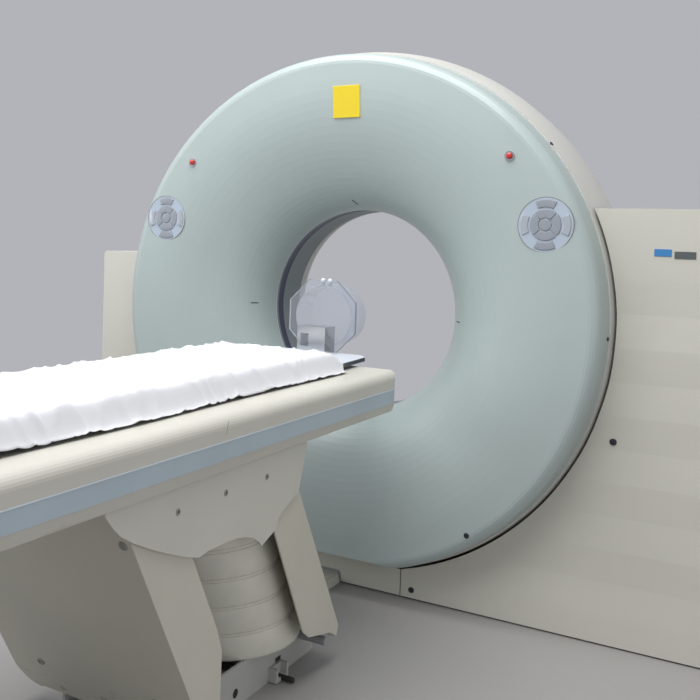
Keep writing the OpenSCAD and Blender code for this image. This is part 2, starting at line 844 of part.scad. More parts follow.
// Table body
module shell_section(t) {
    x = shell_half;
    half = concat([[x - 10 - t, shell_low - (t > 0 ? 50 : 0)], [x - 10 - t, shell_low], [x - 2 - t, band_low],
        [x - 4 - t, band_low], [x - 4 - t, band_top], [x - (t > 0 ? t + 4 : 0), band_top]],
        arc(x - 27, shell_top - 27 - t, 27 - (t > 0 ? t + 4 : 0), 27 - t, 0, 90, 7));
    polygon(mirrored(half));
}

// Plan outline of the table shell, with rounded corners
module shell_plan(inset) {
    r = 18;
    x = shell_half - inset;
    y0 = inset + r - foot_d;
    y1 = -head_d - inset - r;
    polygon(concat(arc(x - r, y1, r, r, 0, 90, 5), arc(r - x, y1, r, r, 90, 180, 5),
        arc(r - x, y0, r, r, 180, 270, 5), arc(x - r, y0, r, r, 270, 360, 5)));
}

module table_shell() {
    color(cream) union() {
        difference() {
            intersection() {
                along_y(-foot_d, -head_d) shell_section(0);
                translate([0, 0, shell_low]) linear_extrude(200) shell_plan(0);
            }
            intersection() {
                along_y(-foot_d, -head_d) shell_section(shell_t);
                translate([0, 0, shell_low - 100]) linear_extrude(400) shell_plan(shell_t);
            }
            block(-slot_half, slot_half, -foot_d + 30, board_travel - carriage_d, shell_low, shell_top + 20);
            along_x(-big, big) polygon([[-head_d + 1, shell_low - 1], [-head_d + 1, shell_low + 14],
                [-head_d, shell_low + 13], [-head_d - 13, shell_low], [-head_d - 13, shell_low - 1]]);
        }
        both_sides() block(105, 155, -head_d - 75, -head_d - 35, shell_top - 1, board_low - seat);
    }
}

module side_bands() {
    color([0.58, 0.65, 0.72]) both_sides()
        block(shell_half - 4, shell_half + 1, 20 - foot_d, -head_d - 20, band_low + 0.1, band_top - 0.1);
}

module table_frame() {
    ear_in = 145;
    ear_out = 160;
    ear_r = 30;
    front_top = on_arm(front_pivot_d, arm_len, 0);
    rear_top = on_arm(rear_pivot_d, arm_len, 0);
    rail_front = -head_d - 40;
    rail_rear = -foot_d + 50;
    color(steel) difference() {
        union() {
            both_sides() {
                difference() {
                    block(rail_in, rail_out, rail_rear, rail_front, rail_low, rail_top);
                    block(rail_in - 1, rail_out - rail_t, rail_rear - 1, rail_front + 1, track_low,
                        track_top);
                }
                for (p = [front_top, rear_top]) {
                    block(ear_in, ear_out, p[0] - ear_r, p[0] + ear_r, p[1], rail_low + 1);
                    rod_x(ear_r, ear_in, ear_out, p[0], p[1]);
                }
                for (y = [-front_pivot_d - 550, -front_pivot_d - 366])
                    block(rail_out - 1, skirt_out - skirt_t - seat, y - 15, y + 15, rail_low, rail_low + 14);
            }
            for (y = [rail_front - 20, -rear_pivot_d + 112, -rear_pivot_d - 448, rail_rear + 20])
                block(-rail_in - 1, rail_in + 1, y - 20, y + 20, rail_low, rail_low + 30);
        }
        for (p = [front_top, rear_top])
            rod_x(shaft_r + (p == rear_top ? loose : fit), -big, big, p[0], p[1]);
    }
}

module table_skirt() {
    color(cream) both_sides() along_x(skirt_out - skirt_t, skirt_out) translate([-front_pivot_d, shell_low])
        polygon(concat([[-175, 42], [-172, -10], [-190, -74], [-208, -126], [-300, -162], [-319, -194]],
            [[-382, -217], [-396, -204], [-422, -188], [-454, -177], [-490, -170], [-530, -167]],
            [[-611, -167], [-644, -172], [-696, -156], [-760, -131], [-819, -105], [-867, -82]],
            [[-904, -60], [-928, -39], [-952, -10], [-956, 42]]));
}

module carriage() {
    shoe = rail_out - rail_t - seat;
    y0 = -carriage_d - carriage_len;
    y1 = -carriage_d;
    color("gray") union() {
        block(seat - rail_in, rail_in - seat, y0, y1, track_low + 8, track_top - 8);
        block(5 - slot_half, slot_half - 5, y0 + 20, y1 - 20, track_top - 9, board_low);
        for (y = [y0, y1 - 60]) block(-shoe, shoe, y, y + 60, track_low + seat, track_top - seat);
    }
}

module tabletop() {
    w = board_half;
    r = board_t / 2 - 1;
    section = concat(arc(w - r, board_low + r, r, r, -90, 0, 4), arc(w - r, board_top - r, r, r, 0, 90, 4));
    plan = [[w, tip_d - board_end], [w, -555], [w - 4, -318], [w - 23, -37], [w - 55, 0]];
    color([0.20, 0.22, 0.30]) intersection() {
        along_y(-board_end, -tip_d) polygon(mirrored(section));
        translate([0, -tip_d, board_low - 1]) linear_extrude(board_t + 2) polygon(mirrored(plan));
    }
}

module mattress() {
    color("whitesmoke") block(-board_half + 8, board_half - 8, 30 - board_end, -tip_d - 305, board_top + seat,
        board_top + pad_t);
}

module phantom_bracket() {
    t = 3;
    top = board_top + 85;
    color("silver") difference() {
        block(-bracket_half, bracket_half, -bracket_d, -plate_d - plate_t - seat, board_top, top);
        block(-bracket_half + t, bracket_half - t, -bracket_d + t, -tip_d + 100, board_top + t, top - t);
        block(12 - bracket_half, 42 - bracket_half, -bracket_d - 5, 10 - bracket_d, board_top + 22, top - 22);
    }
}

module phantom_jar() {
    color([0.80, 0.84, 0.88, 0.5]) union() {
        translate([0, -plate_d, phantom_z]) rotate([90, 22.5, 0])
            cylinder(d = plate_w / cos(22.5), h = plate_t, $fn = 8);
        rod_y(jar_r, -plate_d - 1, -plate_d + jar_len, 0, phantom_z);
        for (x = [-plug_x, plug_x])
            translate([x, 18 - plate_d, phantom_z + jar_r - 6]) cylinder(r = plug_r, h = 22);
    }
}

gantry_base_frame();
gantry_stands();
left_cabinet();
right_cabinet();
kick_strips();
cable_duct();
tilt_frame();
front_cover();
drum_shell();
rear_cover();
front_lip();
scan_window();
bore_tube();
bearing_race();
drive_stator();
key_panel(-1);  // left_key_panel
key_panel(1);  // right_key_panel
button_collars();
rotor_disc();
xray_tube();
collimator();
detector_arc();
hv_generator();
slip_ring();
key(-1, 0, 0);  // left_key_centre
key(-1, 1, 0);  // left_key_ring_1
key(-1, 1, 90);  // left_key_ring_2
key(-1, 1, 180);  // left_key_ring_3
key(-1, 1, 270);  // left_key_ring_4
key(-1, 2, 0);  // left_key_outer_1
key(-1, 2, 90);  // left_key_outer_2
key(-1, 2, 180);  // left_key_outer_3
key(-1, 2, 270);  // left_key_outer_4
key(1, 0, 0);  // right_key_centre
key(1, 1, 0);  // right_key_ring_1
key(1, 1, 90);  // right_key_ring_2
key(1, 1, 180);  // right_key_ring_3
key(1, 1, 270);  // right_key_ring_4
key(1, 2, 0);  // right_key_outer_1
key(1, 2, 90);  // right_key_outer_2
key(1, 2, 180);  // right_key_outer_3
key(1, 2, 270);  // right_key_outer_4
push_button(-1);  // left_push_button
push_button(1);  // right_push_button
table_base();
lift_gearmotor();
lift_bellows();
front_arm();
front_arm_cover();
rear_arm();
foot_side_cover();
table_frame();
table_shell();
side_bands();
table_skirt();
carriage();
tabletop();
mattress();
phantom_bracket();
phantom_jar();
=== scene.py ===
import json
import math

import bmesh
import bpy
from mathutils import Matrix, Vector, noise as solid_noise


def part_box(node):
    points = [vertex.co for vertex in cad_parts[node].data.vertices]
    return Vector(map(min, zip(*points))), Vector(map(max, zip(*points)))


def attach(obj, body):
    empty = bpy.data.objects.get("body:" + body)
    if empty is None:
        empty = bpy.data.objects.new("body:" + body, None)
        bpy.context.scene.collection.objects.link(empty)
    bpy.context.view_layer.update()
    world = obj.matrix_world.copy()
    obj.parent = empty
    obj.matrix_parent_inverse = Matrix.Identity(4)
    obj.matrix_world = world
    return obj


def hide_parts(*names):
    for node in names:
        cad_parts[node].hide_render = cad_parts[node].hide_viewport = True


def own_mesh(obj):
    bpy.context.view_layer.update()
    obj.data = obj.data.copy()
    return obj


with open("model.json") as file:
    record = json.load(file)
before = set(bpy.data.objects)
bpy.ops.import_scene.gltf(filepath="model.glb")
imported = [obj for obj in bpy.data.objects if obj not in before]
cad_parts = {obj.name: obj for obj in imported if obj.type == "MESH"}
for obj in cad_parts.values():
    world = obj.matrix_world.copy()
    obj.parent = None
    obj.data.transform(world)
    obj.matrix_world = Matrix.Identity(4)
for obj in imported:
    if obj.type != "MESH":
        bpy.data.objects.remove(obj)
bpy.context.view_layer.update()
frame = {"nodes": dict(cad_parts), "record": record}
nodes = frame["nodes"]

# Driving sizes, in metres, as the part's source has them
SCAN_H = 0.942
LEAN = math.radians(28.5)
FRONT_D = 0.282
DRUM_R = 0.890
FUNNEL_R = 0.771
FUNNEL_D = 0.032
FUNNEL_W = 0.419
FUNNEL_DEPTH = 0.250
CAB_FRONT = 0.172
LEFT_X = 1.077
RIGHT_X = 1.155
STRIP_HALF = 0.240
SHELL_HALF = 0.310
SHELL_TOP = 0.797
BAND_TOP = 0.744
FOOT_D = 2.750
HEAD_D = 0.437
BOARD_TOP = 0.820
SKIRT_HALF = 0.292
BASE_HALF = 0.184
PIVOT_D = 0.800
PIVOT_H = 0.085

# The photograph's camera
CAMERA_AT = (1.3876, -3.0506, 1.1832)
CAMERA_AZIMUTH = 31.51
CAMERA_PITCH = 2.83
CAMERA_ROLL = 1.74
FOCAL_PX = 929.3
CENTRE_PX = (251.9, 284.0)
FRAME_PX = 700


def make_camera():
    data = bpy.data.cameras.new("camera")
    camera = bpy.data.objects.new("camera", data)
    bpy.context.collection.objects.link(camera)
    azimuth, pitch, roll = (math.radians(v) for v in (CAMERA_AZIMUTH, CAMERA_PITCH, CAMERA_ROLL))
    ahead = Vector((-math.sin(azimuth) * math.cos(pitch), math.cos(azimuth) * math.cos(pitch),
                    -math.sin(pitch)))
    level = Vector((math.cos(azimuth), math.sin(azimuth), 0))
    above = level.cross(ahead)
    right = level * math.cos(roll) + above * math.sin(roll)
    up = above * math.cos(roll) - level * math.sin(roll)
    turn = Matrix((right, up, -ahead)).transposed().to_4x4()
    camera.matrix_world = Matrix.Translation(CAMERA_AT) @ turn
    data.sensor_width = 36
    data.lens = FOCAL_PX / FRAME_PX * data.sensor_width
    data.shift_x = 0.5 - CENTRE_PX[0] / FRAME_PX
    data.shift_y = CENTRE_PX[1] / FRAME_PX - 0.5
    data.clip_start = 0.05
    data.clip_end = 100
    bpy.context.scene.camera = camera


# Materials

def new_material(name):
    material = bpy.data.materials.new(name)
    material.use_nodes = True
    tree = material.node_tree
    tree.nodes.clear()
    out = tree.nodes.new("ShaderNodeOutputMaterial")
    shader = tree.nodes.new("ShaderNodeBsdfPrincipled")
    tree.links.new(shader.outputs["BSDF"], out.inputs["Surface"])
    return material, tree, shader


def object_point(tree):
    return tree.nodes.new("ShaderNodeTexCoord").outputs["Object"]


def noise(tree, vector, scale, detail=3.0, roughness=0.5):
    node = tree.nodes.new("ShaderNodeTexNoise")
    node.inputs["Scale"].default_value = scale
    node.inputs["Detail"].default_value = detail
    node.inputs["Roughness"].default_value = roughness
    tree.links.new(vector, node.inputs["Vector"])
    return node.outputs["Fac"]


def ramp(tree, value, low, high, low_colour, high_colour):
    node = tree.nodes.new("ShaderNodeValToRGB")
    node.color_ramp.elements[0].position = low
    node.color_ramp.elements[0].color = (*low_colour, 1)
    node.color_ramp.elements[1].position = high
    node.color_ramp.elements[1].color = (*high_colour, 1)
    tree.links.new(value, node.inputs["Fac"])
    return node.outputs["Color"]


def spread(tree, value, low, high):
    node = tree.nodes.new("ShaderNodeMapRange")
    node.inputs["To Min"].default_value = low
    node.inputs["To Max"].default_value = high
    tree.links.new(value, node.inputs["Value"])
    return node.outputs["Result"]


def add_bump(tree, shader, height, distance, strength=1.0):
    node = tree.nodes.new("ShaderNodeBump")
    node.inputs["Strength"].default_value = strength
    node.inputs["Distance"].default_value = distance
    tree.links.new(height, node.inputs["Height"])
    tree.links.new(node.outputs["Normal"], shader.inputs["Normal"])


def shade(colour, factor):
    return tuple(min(1.0, c * factor) for c in colour)


def surface(name, colour, roughness=0.4, metallic=0.0, mottle=0.03, patch=4.0, grain=450.0, relief=0.00004,
            coat=0.0, sheen=0.0):
    """A finish with a slightly uneven tone, gloss and a fine grain."""
    material, tree, shader = new_material(name)
    at = object_point(tree)
    patches = noise(tree, at, patch, 5.0)
    tone = ramp(tree, patches, 0.3, 0.7, shade(colour, 1 - mottle), shade(colour, 1 + mottle))
    tree.links.new(tone, shader.inputs["Base Color"])
    tree.links.new(spread(tree, noise(tree, at, patch * 7), roughness - 0.06, roughness + 0.06),
                   shader.inputs["Roughness"])
    shader.inputs["Metallic"].default_value = metallic
    shader.inputs["Coat Weight"].default_value = coat
    shader.inputs["Coat Roughness"].default_value = 0.15
    shader.inputs["Sheen Weight"].default_value = sheen
    add_bump(tree, shader, noise(tree, at, grain, 2.0), relief)
    material.diffuse_color = (*colour, 1)
    return material


def clear(name, colour, roughness=0.05):
    material, tree, shader = new_material(name)
    at = object_point(tree)
    shader.inputs["Base Color"].default_value = (*colour, 1)
    shader.inputs["Transmission Weight"].default_value = 0.90
    shader.inputs["IOR"].default_value = 1.08
    tree.links.new(spread(tree, noise(tree, at, 30), roughness, roughness + 0.06), shader.inputs["Roughness"])
    return material


def painted_top_reflection(name, low_colour, high_colour, level, width, roughness=0.4, **more):
    """A surface whose colour changes at a level: here a dark board whose top face is painted pale, a painted
    reflection of the overhead light.
    """
    material = surface(name, low_colour, roughness, **more)
    tree = material.node_tree
    shader = next(n for n in tree.nodes if n.type == "BSDF_PRINCIPLED")
    split = tree.nodes.new("ShaderNodeSeparateXYZ")
    tree.links.new(object_point(tree), split.inputs["Vector"])
    step = tree.nodes.new("ShaderNodeMapRange")
    step.inputs["From Min"].default_value = level - width
    step.inputs["From Max"].default_value = level
    tree.links.new(split.outputs["Z"], step.inputs["Value"])
    mix = tree.nodes.new("ShaderNodeMix")
    mix.data_type = "RGBA"
    old = shader.inputs["Base Color"].links[0].from_socket
    tree.links.new(step.outputs["Result"], mix.inputs["Factor"])
    tree.links.new(old, mix.inputs["A"])
    mix.inputs["B"].default_value = (*high_colour, 1)
    tree.links.new(mix.outputs["Result"], shader.inputs["Base Color"])
    return material


def low_dark_streaks(name, colour, streak_colour, level, roughness=0.42, **more):
    """Paint with dark streaky marks that gather below a level and thin out above it."""
    material = surface(name, colour, roughness, **more)
    tree = material.node_tree
    shader = next(n for n in tree.nodes if n.type == "BSDF_PRINCIPLED")
    at = object_point(tree)
    split = tree.nodes.new("ShaderNodeSeparateXYZ")
    tree.links.new(at, split.inputs["Vector"])
    near = tree.nodes.new("ShaderNodeMapRange")
    near.inputs["From Min"].default_value = level
    near.inputs["From Max"].default_value = level - 0.06
    tree.links.new(split.outputs["Z"], near.inputs["Value"])
    stretch = tree.nodes.new("ShaderNodeMapping")
    stretch.inputs["Scale"].default_value = (1, 0.25, 1.6)
    tree.links.new(at, stretch.inputs["Vector"])
    marks = tree.nodes.new("ShaderNodeMapRange")
    marks.inputs["From Min"].default_value = 0.56
    marks.inputs["From Max"].default_value = 0.74
    tree.links.new(noise(tree, stretch.outputs["Vector"], 22, 6.0, 0.65), marks.inputs["Value"])
    both = tree.nodes.new("ShaderNodeMath")
    both.operation = "MULTIPLY"
    tree.links.new(near.outputs["Result"], both.inputs[0])
    tree.links.new(marks.outputs["Result"], both.inputs[1])
    mix = tree.nodes.new("ShaderNodeMix")
    mix.data_type = "RGBA"
    old = shader.inputs["Base Color"].links[0].from_socket
    tree.links.new(both.outputs["Value"], mix.inputs["Factor"])
    tree.links.new(old, mix.inputs["A"])
    mix.inputs["B"].default_value = (*streak_colour, 1)
    tree.links.new(mix.outputs["Result"], shader.inputs["Base Color"])
    return material


MINT = (0.405, 0.475, 0.462)
CREAM = (0.585, 0.575, 0.51)
looks = {
    "mint": surface("mint_paint", MINT, 0.36, coat=0.12, mottle=0.02, grain=700),
    "cream": surface("cream_paint", CREAM, 0.42, coat=0.08, mottle=0.025, grain=600),
    # The shell, foot cover and side band get darker streaks towards their lower edges
    "shell": low_dark_streaks("table_shell_paint", (0.58, 0.565, 0.50), (0.30, 0.28, 0.22), 0.702,
                  coat=0.08, mottle=0.025, grain=600),
    "foot": low_dark_streaks("foot_cover_paint", (0.56, 0.545, 0.46), (0.22, 0.21, 0.17), 0.14,
                 coat=0.06, mottle=0.03, grain=600),
    "drum": surface("drum_paint", (0.57, 0.565, 0.525), 0.42, coat=0.08, mottle=0.02, grain=600),
    "steel": surface("grey_steel_paint", (0.35, 0.36, 0.38), 0.45, 0.3, mottle=0.06),
    "window": surface("dark_window_film", (0.016, 0.024, 0.075), 0.3),
    "tube": surface("bore_tube_plastic", (0.21, 0.24, 0.25), 0.45, mottle=0.03),
    "copper": surface("copper_windings", (0.55, 0.26, 0.12), 0.35, 0.9, mottle=0.1),
    "panel": surface("pale_blue_panel", (0.42, 0.49, 0.57), 0.4, mottle=0.02),
    "key": surface("silver_keys", (0.34, 0.37, 0.41), 0.3, 0.3, mottle=0.03),
    "bright_key": surface("bright_silver_keys", (0.55, 0.59, 0.64), 0.22, 0.55, mottle=0.03),
    "red": surface("red_button", (0.55, 0.025, 0.015), 0.22, coat=0.5),
    "bright": surface("bright_metal", (0.62, 0.63, 0.64), 0.2, 1.0, mottle=0.03),
    "housing": surface("housing_paint", (0.25, 0.28, 0.31), 0.45, 0.2, mottle=0.05),
    "detector": surface("detector_paint", (0.05, 0.06, 0.07), 0.45, mottle=0.08),
    "base": surface("base_powder_coat", (0.45, 0.455, 0.43), 0.5, mottle=0.07, grain=900, relief=0.0001),
    "motor": surface("motor_casting", (0.10, 0.10, 0.11), 0.6, 0.4, mottle=0.15, grain=250, relief=0.0003),
    "vinyl": surface("bellows_vinyl", (0.72, 0.705, 0.62), 0.5, mottle=0.05, patch=14, grain=1500,
                     relief=0.00015),
    "thread": surface("bellows_thread", (0.45, 0.44, 0.38), 0.7, grain=2500, relief=0.0002),
    "band": low_dark_streaks("side_band", (0.42, 0.50, 0.55), (0.10, 0.11, 0.12), 0.712, mottle=0.05),
    # Painted highlight: a pale copy of the band's blue, for thin lines where edges catch the light
    "edge_highlight": surface("painted_edge_highlight", (0.62, 0.68, 0.72), 0.35),
    # The dark tabletop's pale top face is painted reflection of the overhead light
    "board": painted_top_reflection("tabletop_with_painted_top_reflection", (0.012, 0.016, 0.036), (0.62, 0.66, 0.73), BOARD_TOP - 0.0006,
                     0.0012, 0.35),
    "pad": surface("pad_cover", (0.55, 0.57, 0.58), 0.6, sheen=0.3, mottle=0.03, grain=1800, relief=0.0002),
    "cloth": surface("white_table_cloth", (0.70, 0.71, 0.735), 0.85, sheen=0.4, mottle=0.02, grain=2600,
                     relief=0.00025),
    "clear": clear("clear_acrylic", (0.80, 0.83, 0.88), 0.10),
    "plug": surface("white_plugs", (0.80, 0.81, 0.80), 0.4, coat=0.1),
    "mark": surface("dark_marks", (0.02, 0.022, 0.03), 0.5),
    "line": surface("dark_seam", (0.06, 0.062, 0.06), 0.6),
    "soft_line": surface("grey_seam", (0.24, 0.25, 0.23), 0.6),
    "yellow": surface("yellow_plate", (0.78, 0.60, 0.025), 0.4, mottle=0.02),
    "blue_plate": surface("blue_plate", (0.05, 0.22, 0.50), 0.4, mottle=0.02),
    "dark_plate": surface("dark_plate", (0.10, 0.115, 0.115), 0.4, mottle=0.04),
    "screw": surface("screw_caps", (0.30, 0.30, 0.27), 0.4, 0.2),
    # Black rubber for the base's rod and plugs, and also the painted shadow in the gap under the cabinets
    "rubber_and_gap_shadow": surface("black_rubber_and_gap_shadow", (0.02, 0.02, 0.022), 0.7, grain=900, relief=0.0002),
}
look_of = {
    "front_cover": "mint", "front_lip": "tube", "bore_tube": "tube", "scan_window": "window",
    "drum_shell": "drum", "rear_cover": "drum",
    "drive_stator": "copper", "slip_ring": "copper", "xray_tube": "housing", "hv_generator": "housing",
    "collimator": "housing", "detector_arc": "detector", "table_base": "base", "lift_gearmotor": "motor",
    "lift_bellows": "vinyl", "side_bands": "band", "tabletop": "board", "mattress": "pad",
    "table_shell": "shell", "foot_side_cover": "foot", "front_arm_cover": "foot",
    "phantom_bracket": "bright", "phantom_jar": "clear", "button_collars": "bright",
}
steel_nodes = ("gantry_base_frame", "gantry_stands", "tilt_frame", "bearing_race", "rotor_disc", "front_arm",
               "rear_arm", "table_frame", "carriage")


def look_for(name):
    if name in look_of:
        return looks[look_of[name]]
    if name in steel_nodes:
        return looks["steel"]
    if "_key_panel" in name:
        return looks["panel"]
    if "_key_" in name:
        return looks["key"]
    if "push_button" in name:
        return looks["red"]
    return looks["cream"]


body_of = {name: body for body, group in frame["record"]["behaviour"]["bodies"].items() for name in group}


def dress_nodes():
    for name, node in nodes.items():
        node.data.materials.clear()
        node.data.materials.append(look_for(name))


# Stage

def make_stage():
    material, tree, shader = new_material("stage_floor")
    patches = noise(tree, object_point(tree), 0.6)
    tree.links.new(ramp(tree, patches, 0.3, 0.7, (0.31, 0.30, 0.29), (0.335, 0.325, 0.315)),
                   shader.inputs["Base Color"])
    shader.inputs["Roughness"].default_value = 0.45
    mesh = bpy.data.meshes.new("floor")
    mesh.from_pydata([(-2.1, -9, 0), (8, -9, 0), (8, 1.5, 0), (-2.1, 1.5, 0)], [], [(0, 1, 2, 3)])
    floor = bpy.data.objects.new("floor", mesh)
    mesh.materials.append(material)
    bpy.context.collection.objects.link(floor)

    world = bpy.data.worlds.new("studio")
    world.use_nodes = True
    background = world.node_tree.nodes["Background"]
    background.inputs["Color"].default_value = (0.50, 0.505, 0.54, 1)
    background.inputs["Strength"].default_value = 0.90
    bpy.context.scene.world = world


def area_light(name, at, towards, size, watts, colour=(1, 1, 1)):
    data = bpy.data.lights.new(name, "AREA")
    data.shape = "RECTANGLE"
    data.size, data.size_y = size
    data.energy = watts
    data.color = colour
    light = bpy.data.objects.new(name, data)
    light.location = at
    light.rotation_euler = (Vector(towards) - Vector(at)).to_track_quat("-Z", "Y").to_euler()
    bpy.context.collection.objects.link(light)


def make_lights():
    area_light("ceiling_light", (-0.2, -1.6, 3.9), (0.0, -0.5, 0.6), (3.4, 2.6), 155)
    area_light("right_fill", (3.4, -2.2, 1.0), (0, -1.2, 0.45), (2.0, 1.4), 10)
    area_light("left_window", (-4.0, -2.5, 2.2), (0, -0.4, 0.9), (2.5, 2.5), 42, (0.93, 0.96, 1.0))


# Pieces

def add_piece(name, mesh, look, body, smooth=True):
    piece = bpy.data.objects.new(name, mesh)
    bpy.context.collection.objects.link(piece)
    mesh.materials.clear()
    mesh.materials.append(looks[look])
    if smooth:
        mesh.shade_smooth()
    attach(piece, body)
    return piece


def mesh_of(name, points, faces):
    mesh = bpy.data.meshes.new(name)
    mesh.from_pydata([tuple(p) for p in points], [], faces)
    mesh.validate()
    return mesh


def grid_faces(rows, count, closed=True, start=0):
    """Faces between rows of points, round each row too where closed."""
    last = count if closed else count - 1
    return [(start + i * count + k, start + i * count + (k + 1) % count,
             start + (i + 1) * count + (k + 1) % count, start + (i + 1) * count + k)
            for i in range(rows - 1) for k in range(last)]


def apply_modifiers(piece):
    """Makes the modifiers' result the piece's own mesh."""
    graph = bpy.context.evaluated_depsgraph_get()
    result = bpy.data.meshes.new_from_object(piece.evaluated_get(graph))
    piece.modifiers.clear()
    piece.data = result


def lathe(profile, at, outward, count=24):
    """Turns [radius, height] pairs about the outward direction; closes on the axis at both ends."""
    turn = Vector(outward).normalized().to_track_quat("Z", "Y").to_matrix()
    points = [Vector(at) + turn @ Vector((r * math.cos(t), r * math.sin(t), h))
              for r, h in profile for t in (2 * math.pi * k / count for k in range(count))]
    faces = grid_faces(len(profile), count)
    faces.append(tuple(range(count))[::-1])
    faces.append(tuple((len(profile) - 1) * count + k for k in range(count)))
    return points, faces


def bar(at, along, outward, length, width, height, round_by=0.3):
    """A small raised bar with bevelled top edges, lying on a surface at a point."""
    outward = Vector(outward).normalized()
    along = Vector(along)
    along = (along - along.dot(outward) * outward).normalized()
    across = outward.cross(along)
    inset = min(width, height) * round_by
    points = []
    for level, shrink in ((-0.5 * height, 0), (height - inset, 0), (height, inset)):
        for u, v in ((-1, -1), (1, -1), (1, 1), (-1, 1)):
            points.append(Vector(at) + along * u * (length / 2 - shrink) + across * v * (width / 2 - shrink)
                          + outward * level)
    faces = grid_faces(3, 4)
    faces += [(3, 2, 1, 0), (8, 9, 10, 11)]
    return points, faces


def join(parts):
    """One list of points and faces from several."""
    points, faces = [], []
    for some_points, some_faces in parts:
        faces += [tuple(len(points) + i for i in face) for face in some_faces]
        points += some_points
    return points, faces


def funnel_point(turn_deg, radius):
    """A point on the front cover's funnel and its outward normal."""
    cosine = (radius - FUNNEL_R) / FUNNEL_W
    sine = -math.sqrt(1 - cosine * cosine)
    turn = math.radians(turn_deg)
    radial = Vector((math.cos(turn), 0, math.sin(turn)))
    normal = (radial * (cosine / FUNNEL_W) + Vector((0, sine / FUNNEL_DEPTH, 0))).normalized()
    at = Vector((0, -FUNNEL_D + FUNNEL_DEPTH * sine, SCAN_H)) + radial * radius
    return at, normal


SLITS = ((90.5, 0.376, (0.35, 1, 0)), (179.5, 0.387, (0.2, 1, 0)), (358.5, 0.390, (0.2, 1, 0)))


def make_funnel_marks():
    """Three slits near the bore, each at a turn and radius, and one screw cap low on the front cover."""
    parts = []
    for turn, radius, along in SLITS:
        at, normal = funnel_point(turn, radius)
        parts.append(bar(at, along, normal, 0.030, 0.0035, 0.0008))
    add_piece("laser_slits", mesh_of("laser_slits", *join(parts)), "mark", "tilting_ring", smooth=False)
    cap = lathe([(0.0085, -0.001), (0.0085, 0.0012), (0.007, 0.002), (0.004, 0.0022)],
                (0.494, -FRONT_D, 0.286), (0, -1, 0))
    add_piece("cover_screw_cap", mesh_of("cover_screw_cap", *cap), "mark", "tilting_ring")


def make_plates():
    """Plain plates of colour, without print: one on the funnel and two on the right cabinet."""
    at, normal = funnel_point(87.5, 0.698)
    plate = bar(at, (1, 0, 0), normal, 0.097, 0.104, 0.0022, 0.35)
    add_piece("yellow_plate", mesh_of("yellow_plate", *plate), "yellow", "tilting_ring", smooth=False)
    for name, look, x, z, width in (("blue_plate", "blue_plate", 0.997, 1.1765, 0.046),
                                    ("dark_plate", "dark_plate", 1.0555, 1.171, 0.056)):
        plate = bar((x, -CAB_FRONT, z), (1, 0, 0), (0, -1, 0), width, 0.021, 0.0015, 0.35)
        add_piece(name, mesh_of(name, *plate), look, "floor_base", smooth=False)


SKIRT_SCREW_DEPTHS = (1.525, 1.346, 1.169)
SKIRT_SCREW_H = 0.620
# The foot-side cover's rear face passes through this depth and height, leaning with the arms
FOOT_FACE_D = 1.373
FOOT_FACE_H = 0.048
FOOT_SCREWS = ((0.262, 0.580), (-0.175, 0.145))
CABINET_SCREWS = ((0.888, -CAB_FRONT + 0.0005, 0.615), (0.279, -CAB_FRONT, 0.032),
                  (-0.279, -CAB_FRONT, 0.032))


def make_screws():
    cap = [(0.011, -0.001), (0.011, 0.0015), (0.0095, 0.0028), (0.0055, 0.0032), (0.005, 0.0018),
           (0.002, 0.0016)]
    small = [(r * 0.66, h * 0.7) for r, h in cap]
    skirt_places = [((sign * SKIRT_HALF, -depth, SKIRT_SCREW_H), (sign, 0, 0))
                    for depth in SKIRT_SCREW_DEPTHS for sign in (1, -1)]
    parts = [lathe(small, at, outward) for at, outward in skirt_places]
    add_piece("skirt_screws", mesh_of("skirt_screws", *join(parts)), "screw", "table_body")
    slot = [(0.0022, -0.001), (0.0022, 0.0021), (0.001, 0.0024)]
    parts = [lathe(slot, at, outward, 10) for at, outward in skirt_places]
    add_piece("skirt_screw_slots", mesh_of("skirt_screw_slots", *join(parts)), "mark", "table_body")
    parts = [lathe(cap, (sign * x, -FOOT_FACE_D - (z - FOOT_FACE_H) * math.tan(LEAN), z),
                   (0, -math.cos(LEAN), -math.sin(LEAN)))
             for x, z in FOOT_SCREWS for sign in (1, -1)]
    add_piece("foot_screws", mesh_of("foot_screws", *join(parts)), "screw", "rear_lift_arm")
    plug = [(0.010, -0.001), (0.010, 0.001), (0.0085, 0.002), (0.003, 0.0022)]
    parts = [lathe(plug, at, (0, -1, 0)) for at in CABINET_SCREWS]
    add_piece("cabinet_screws", mesh_of("cabinet_screws", *join(parts)), "mark", "floor_base")


def ring_line(name, radius, y, thickness, width, look):
    """A thin band round the scan axis, on the tilting ring."""
    count = 180
    points = []
    for i in range(count):
        turn = math.radians(360 * i / count)
        for r, d in ((radius - 0.002, y), (radius + thickness, y), (radius + thickness, y + width),
                     (radius - 0.002, y + width)):
            points.append(Vector((r * math.cos(turn), d, SCAN_H + r * math.sin(turn))))
    faces = [(i * 4 + k, i * 4 + (k + 1) % 4, ((i + 1) % count) * 4 + (k + 1) % 4, ((i + 1) % count) * 4 + k)
             for i in range(count) for k in range(4)]
    add_piece(name, mesh_of(name, points, faces), look, "tilting_ring")


# Height of the black strip painted as the shadow in the gap under the cabinets' front
FLOOR_GAP_SHADOW_H = 0.0032


